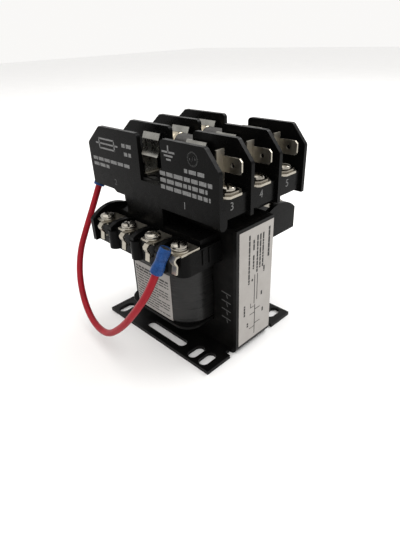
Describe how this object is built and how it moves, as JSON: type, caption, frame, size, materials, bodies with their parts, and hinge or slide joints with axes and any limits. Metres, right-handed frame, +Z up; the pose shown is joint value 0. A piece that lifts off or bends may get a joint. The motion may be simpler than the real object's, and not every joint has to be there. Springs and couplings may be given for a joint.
{
  "type": "control power transformer with fuse block",
  "caption": "Open-frame control power transformer with a fuse block on top, screw terminals, slotted foot plate and a jumper wire.",
  "frame": {"origin": "middle of the underside of the foot plate, between the four outer foot slots", "axes": "+Z up from the mounting surface, +X to the right along the core's width, +Y to the rear along the core's stack"},
  "size_m": [0.0936, 0.093, 0.1005],
  "materials": {
    "block_moulding": "satin black moulded plastic",
    "blue_sleeve": "blue vinyl sleeve",
    "bobbin_plastic": "black moulded nylon",
    "clamp_plate": "zinc-plated clamp plate",
    "coil_label_paper": "off-white paper label",
    "coil_tape": "dark grey wrapped tape",
    "copper_winding": "enamelled copper wire",
    "core_varnish": "varnished black lamination edges",
    "frame_paint": "satin black paint on steel sheet",
    "fuse_cap": "plated fuse cap",
    "fuse_element": "fuse wire",
    "fuse_tube": "dark laminate fuse tube",
    "hold_screw": "dark plated steel screw",
    "insulation_film": "yellow polyester film",
    "plated_contact": "tin-plated contact metal",
    "red_wire": "red PVC insulation",
    "ring_metal": "tinned copper terminal",
    "side_label_paper": "off-white paper label",
    "spring_clip": "tin-plated spring clip",
    "terminal_moulding": "black moulded plastic",
    "terminal_screw": "zinc-plated slotted screw",
    "tinned_lead": "tinned copper lead",
    "washer_plate": "zinc-plated washer"
  },
  "bodies": {
    "root": {"coil_bobbin": "bobbin_plastic", "coil_label": "coil_label_paper", "coil_lead_wires": "tinned_lead", "coil_outer_tape": "coil_tape", "core_e_laminations": "core_varnish", "core_i_laminations": "core_varnish", "front_terminal_block": "terminal_moulding", "front_terminal_strips": "plated_contact", "fuse_block_body": "block_moulding", "fuse_block_screws": "hold_screw", "jumper_wire": "red_wire", "left_fuse_clips": "spring_clip", "left_fuse_terminals": "plated_contact", "lower_crimp_sleeve": "blue_sleeve", "lower_ring_terminal": "ring_metal", "mounting_frame": "frame_paint", "primary_winding": "copper_winding", "rear_terminal_block": "terminal_moulding", "rear_terminal_strips": "plated_contact", "right_fuse_clips": "spring_clip", "right_fuse_terminals": "plated_contact", "secondary_winding": "copper_winding", "side_label": "side_label_paper", "upper_crimp_sleeve": "blue_sleeve", "upper_ring_terminal": "ring_metal", "winding_insulation": "insulation_film"},
    "front_washer_1": {"front_washer_1": "washer_plate"},
    "front_screw_1": {"front_screw_1": "terminal_screw"},
    "front_washer_2": {"front_washer_2": "washer_plate"},
    "front_screw_2": {"front_screw_2": "terminal_screw"},
    "front_washer_3": {"front_washer_3": "washer_plate"},
    "front_screw_3": {"front_screw_3": "terminal_screw"},
    "front_washer_4": {"front_washer_4": "washer_plate"},
    "front_screw_4": {"front_screw_4": "terminal_screw"},
    "rear_washer_1": {"rear_washer_1": "washer_plate"},
    "rear_screw_1": {"rear_screw_1": "terminal_screw"},
    "rear_washer_2": {"rear_washer_2": "washer_plate"},
    "rear_screw_2": {"rear_screw_2": "terminal_screw"},
    "rear_washer_3": {"rear_washer_3": "washer_plate"},
    "rear_screw_3": {"rear_screw_3": "terminal_screw"},
    "rear_washer_4": {"rear_washer_4": "washer_plate"},
    "rear_screw_4": {"rear_screw_4": "terminal_screw"},
    "left_clamp_plate_1": {"left_clamp_plate_1": "clamp_plate"},
    "left_screw_1": {"left_screw_1": "terminal_screw"},
    "left_clamp_plate_2": {"left_clamp_plate_2": "clamp_plate"},
    "left_screw_2": {"left_screw_2": "terminal_screw"},
    "left_clamp_plate_3": {"left_clamp_plate_3": "clamp_plate"},
    "left_screw_3": {"left_screw_3": "terminal_screw"},
    "right_clamp_plate_1": {"right_clamp_plate_1": "clamp_plate"},
    "right_screw_1": {"right_screw_1": "terminal_screw"},
    "right_clamp_plate_2": {"right_clamp_plate_2": "clamp_plate"},
    "right_screw_2": {"right_screw_2": "terminal_screw"},
    "right_clamp_plate_3": {"right_clamp_plate_3": "clamp_plate"},
    "right_screw_3": {"right_screw_3": "terminal_screw"},
    "fuse_2": {"fuse_2_tube": "fuse_tube", "fuse_2_end_caps": "fuse_cap", "fuse_2_element": "fuse_element"},
    "fuse_3": {"fuse_3_tube": "fuse_tube", "fuse_3_end_caps": "fuse_cap", "fuse_3_element": "fuse_element"}
  },
  "joints": [
    {"name": "front_washer_1_lift", "type": "slide", "parent": "root", "child": "front_washer_1", "axis": [0, 0, 1], "range_m": [0, 0.0028]},
    {"name": "front_screw_1_turn", "type": "hinge", "parent": "front_washer_1", "child": "front_screw_1", "pos_m": [-0.0255, -0.0325, 0.0602], "axis": [0, 0, 1], "range_deg": [0, 1272]},
    {"name": "front_washer_2_lift", "type": "slide", "parent": "root", "child": "front_washer_2", "axis": [0, 0, 1], "range_m": [0, 0.0028]},
    {"name": "front_screw_2_turn", "type": "hinge", "parent": "front_washer_2", "child": "front_screw_2", "pos_m": [-0.0085, -0.0325, 0.0602], "axis": [0, 0, 1], "range_deg": [0, 1272]},
    {"name": "front_washer_3_lift", "type": "slide", "parent": "root", "child": "front_washer_3", "axis": [0, 0, 1], "range_m": [0, 0.0028]},
    {"name": "front_screw_3_turn", "type": "hinge", "parent": "front_washer_3", "child": "front_screw_3", "pos_m": [0.0085, -0.0325, 0.0602], "axis": [0, 0, 1], "range_deg": [0, 1272]},
    {"name": "front_washer_4_lift", "type": "slide", "parent": "root", "child": "front_washer_4", "axis": [0, 0, 1], "range_m": [0, 0.0028]},
    {"name": "front_screw_4_turn", "type": "hinge", "parent": "front_washer_4", "child": "front_screw_4", "pos_m": [0.0255, -0.0325, 0.0602], "axis": [0, 0, 1], "range_deg": [0, 1272]},
    {"name": "rear_washer_1_lift", "type": "slide", "parent": "root", "child": "rear_washer_1", "axis": [0, 0, 1], "range_m": [0, 0.0028]},
    {"name": "rear_screw_1_turn", "type": "hinge", "parent": "rear_washer_1", "child": "rear_screw_1", "pos_m": [-0.0255, 0.0325, 0.0602], "axis": [0, 0, 1], "range_deg": [0, 1272]},
    {"name": "rear_washer_2_lift", "type": "slide", "parent": "root", "child": "rear_washer_2", "axis": [0, 0, 1], "range_m": [0, 0.0028]},
    {"name": "rear_screw_2_turn", "type": "hinge", "parent": "rear_washer_2", "child": "rear_screw_2", "pos_m": [-0.0085, 0.0325, 0.0602], "axis": [0, 0, 1], "range_deg": [0, 1272]},
    {"name": "rear_washer_3_lift", "type": "slide", "parent": "root", "child": "rear_washer_3", "axis": [0, 0, 1], "range_m": [0, 0.0028]},
    {"name": "rear_screw_3_turn", "type": "hinge", "parent": "rear_washer_3", "child": "rear_screw_3", "pos_m": [0.0085, 0.0325, 0.0602], "axis": [0, 0, 1], "range_deg": [0, 1272]},
    {"name": "rear_washer_4_lift", "type": "slide", "parent": "root", "child": "rear_washer_4", "axis": [0, 0, 1], "range_m": [0, 0.0028]},
    {"name": "rear_screw_4_turn", "type": "hinge", "parent": "rear_washer_4", "child": "rear_screw_4", "pos_m": [0.0255, 0.0325, 0.0602], "axis": [0, 0, 1], "range_deg": [0, 1272]},
    {"name": "left_clamp_plate_1_lift", "type": "slide", "parent": "root", "child": "left_clamp_plate_1", "axis": [0, 0, 1], "range_m": [0, 0.0028]},
    {"name": "left_screw_1_turn", "type": "hinge", "parent": "left_clamp_plate_1", "child": "left_screw_1", "pos_m": [-0.0413, -0.0136, 0.0815], "axis": [0, 0, 1], "range_deg": [0, 1272]},
    {"name": "left_clamp_plate_2_lift", "type": "slide", "parent": "root", "child": "left_clamp_plate_2", "axis": [0, 0, 1], "range_m": [0, 0.0028]},
    {"name": "left_screw_2_turn", "type": "hinge", "parent": "left_clamp_plate_2", "child": "left_screw_2", "pos_m": [-0.0413, 0.0048, 0.0815], "axis": [0, 0, 1], "range_deg": [0, 1272]},
    {"name": "left_clamp_plate_3_lift", "type": "slide", "parent": "root", "child": "left_clamp_plate_3", "axis": [0, 0, 1], "range_m": [0, 0.0028]},
    {"name": "left_screw_3_turn", "type": "hinge", "parent": "left_clamp_plate_3", "child": "left_screw_3", "pos_m": [-0.0413, 0.0232, 0.0815], "axis": [0, 0, 1], "range_deg": [0, 1272]},
    {"name": "right_clamp_plate_1_lift", "type": "slide", "parent": "root", "child": "right_clamp_plate_1", "axis": [0, 0, 1], "range_m": [0, 0.0028]},
    {"name": "right_screw_1_turn", "type": "hinge", "parent": "right_clamp_plate_1", "child": "right_screw_1", "pos_m": [0.0345, -0.0136, 0.0815], "axis": [0, 0, 1], "range_deg": [0, 1272]},
    {"name": "right_clamp_plate_2_lift", "type": "slide", "parent": "root", "child": "right_clamp_plate_2", "axis": [0, 0, 1], "range_m": [0, 0.0028]},
    {"name": "right_screw_2_turn", "type": "hinge", "parent": "right_clamp_plate_2", "child": "right_screw_2", "pos_m": [0.0345, 0.0048, 0.0815], "axis": [0, 0, 1], "range_deg": [0, 1272]},
    {"name": "right_clamp_plate_3_lift", "type": "slide", "parent": "root", "child": "right_clamp_plate_3", "axis": [0, 0, 1], "range_m": [0, 0.0028]},
    {"name": "right_screw_3_turn", "type": "hinge", "parent": "right_clamp_plate_3", "child": "right_screw_3", "pos_m": [0.0345, 0.0232, 0.0815], "axis": [0, 0, 1], "range_deg": [0, 1272]},
    {"name": "fuse_2_pull", "type": "slide", "parent": "root", "child": "fuse_2", "axis": [0, 0, 1], "range_m": [0, 0.025]},
    {"name": "fuse_3_pull", "type": "slide", "parent": "root", "child": "fuse_3", "axis": [0, 0, 1], "range_m": [0, 0.025]}
  ],
  "couplings": [
    {"joint": "front_screw_1_turn", "follows": "front_washer_1_lift", "rad_per_m": 7915.8},
    {"joint": "front_screw_2_turn", "follows": "front_washer_2_lift", "rad_per_m": 7915.8},
    {"joint": "front_screw_3_turn", "follows": "front_washer_3_lift", "rad_per_m": 7915.8},
    {"joint": "front_screw_4_turn", "follows": "front_washer_4_lift", "rad_per_m": 7915.8},
    {"joint": "rear_screw_1_turn", "follows": "rear_washer_1_lift", "rad_per_m": 7915.8},
    {"joint": "rear_screw_2_turn", "follows": "rear_washer_2_lift", "rad_per_m": 7915.8},
    {"joint": "rear_screw_3_turn", "follows": "rear_washer_3_lift", "rad_per_m": 7915.8},
    {"joint": "rear_screw_4_turn", "follows": "rear_washer_4_lift", "rad_per_m": 7915.8},
    {"joint": "left_screw_1_turn", "follows": "left_clamp_plate_1_lift", "rad_per_m": 7915.8},
    {"joint": "left_screw_2_turn", "follows": "left_clamp_plate_2_lift", "rad_per_m": 7915.8},
    {"joint": "left_screw_3_turn", "follows": "left_clamp_plate_3_lift", "rad_per_m": 7915.8},
    {"joint": "right_screw_1_turn", "follows": "right_clamp_plate_1_lift", "rad_per_m": 7915.8},
    {"joint": "right_screw_2_turn", "follows": "right_clamp_plate_2_lift", "rad_per_m": 7915.8},
    {"joint": "right_screw_3_turn", "follows": "right_clamp_plate_3_lift", "rad_per_m": 7915.8}
  ]
}
